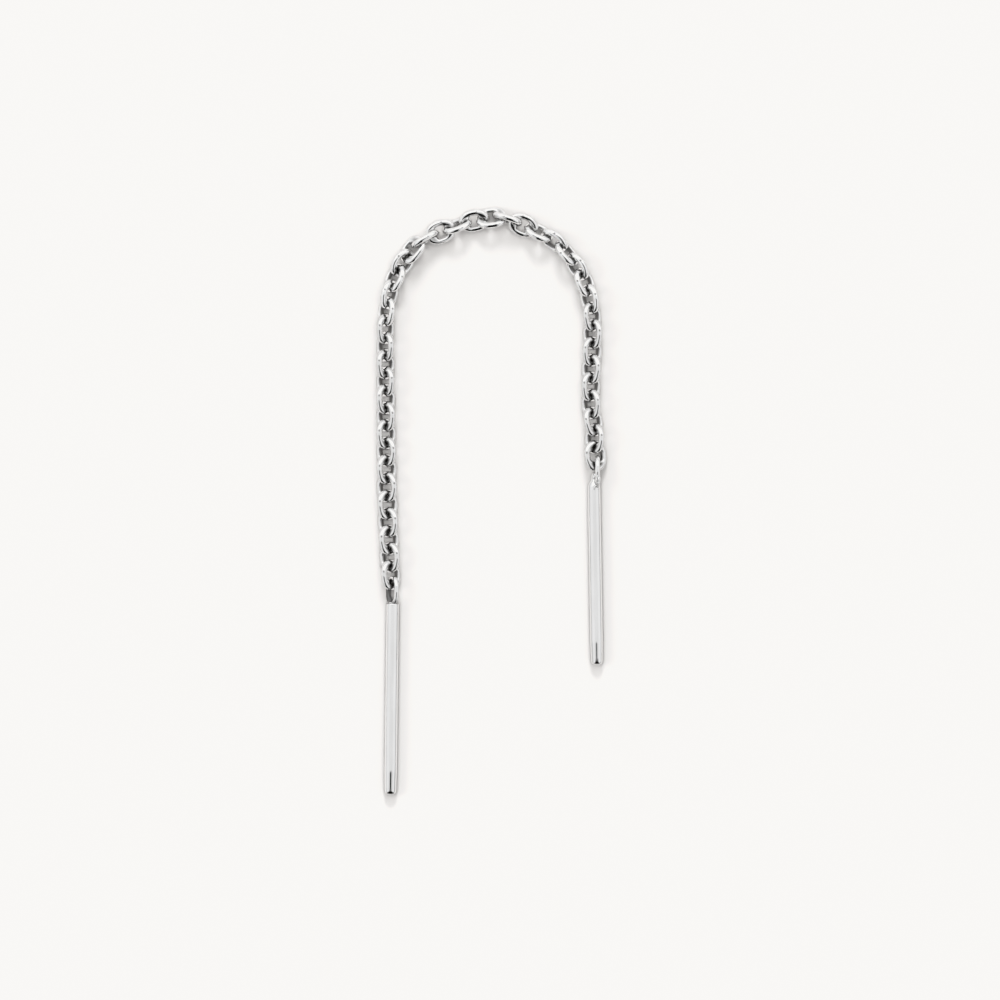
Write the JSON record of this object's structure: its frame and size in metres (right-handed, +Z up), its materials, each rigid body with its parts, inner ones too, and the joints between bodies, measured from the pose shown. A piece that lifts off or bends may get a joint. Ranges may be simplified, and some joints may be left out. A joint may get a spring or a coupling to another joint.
{
  "type": "chain drop earring",
  "caption": "Threader chain drop earring lying on a surface: two slim round bars with soldered wire eyes, joined by a fine cable chain of interlocking oval links.",
  "frame": {"origin": "centre of the whole earring's box on the surface it lies on (z = 0 is that surface)", "axes": "+Z up from the surface; +Y along the legs towards the top of the chain's arch; +X to the right, towards the shorter leg, seen from above"},
  "size_m": [0.0165, 0.042, 0.0018],
  "materials": {
    "bar_silver": "polished silver with fine handling scratches",
    "chain_silver": "polished silver wire"
  },
  "bodies": {
    "root": {"ear_bar_left": "bar_silver", "ear_bar_right": "bar_silver", "link_01": "chain_silver", "link_02": "chain_silver", "link_03": "chain_silver", "link_04": "chain_silver", "link_05": "chain_silver", "link_06": "chain_silver", "link_07": "chain_silver", "link_08": "chain_silver", "link_09": "chain_silver", "link_10": "chain_silver", "link_11": "chain_silver", "link_12": "chain_silver", "link_13": "chain_silver", "link_14": "chain_silver", "link_15": "chain_silver", "link_16": "chain_silver", "link_17": "chain_silver", "link_18": "chain_silver", "link_19": "chain_silver", "link_20": "chain_silver", "link_21": "chain_silver", "link_22": "chain_silver", "link_23": "chain_silver", "link_24": "chain_silver", "link_25": "chain_silver", "link_26": "chain_silver", "link_27": "chain_silver", "link_28": "chain_silver", "link_29": "chain_silver", "link_30": "chain_silver", "link_31": "chain_silver", "link_32": "chain_silver", "link_33": "chain_silver", "link_34": "chain_silver", "link_35": "chain_silver", "link_36": "chain_silver", "link_37": "chain_silver", "link_38": "chain_silver", "link_39": "chain_silver", "link_40": "chain_silver", "link_41": "chain_silver", "link_42": "chain_silver"}
  },
  "joints": []
}
